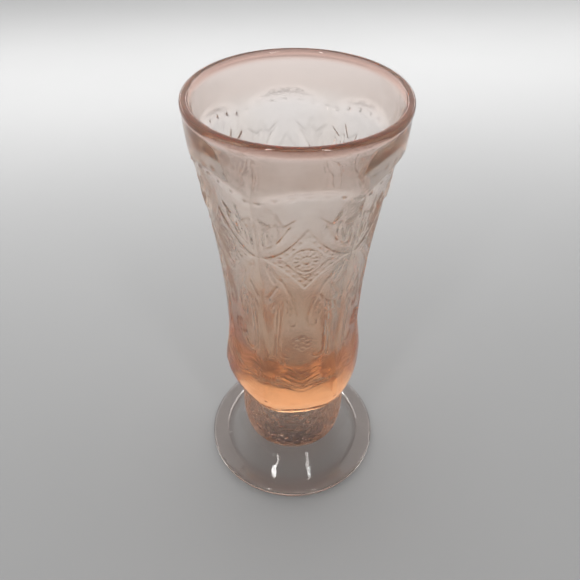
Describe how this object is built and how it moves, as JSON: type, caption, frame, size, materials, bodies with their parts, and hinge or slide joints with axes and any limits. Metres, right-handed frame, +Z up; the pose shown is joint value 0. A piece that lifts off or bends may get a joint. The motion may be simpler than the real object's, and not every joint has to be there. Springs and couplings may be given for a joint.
{
  "type": "footed glass vase",
  "caption": "Flared pink pressed-glass vase with six panels, a plain rounded rim, a short hollow collar and a wide domed foot.",
  "frame": {"origin": "centre of the plane that the foot rests on", "axes": "+Z up along the vase's axis; one of the six panels faces -Y"},
  "size_m": [0.0904, 0.0904, 0.203],
  "materials": {
    "bowl_glass": "clear pink pressed glass with fire-polished rim and low relief",
    "collar_glass": "stippled pink pressed glass",
    "foot_glass": "smooth, very pale pink glass"
  },
  "bodies": {
    "root": {"bowl": "bowl_glass", "stem_collar": "collar_glass", "foot": "foot_glass"}
  },
  "joints": []
}
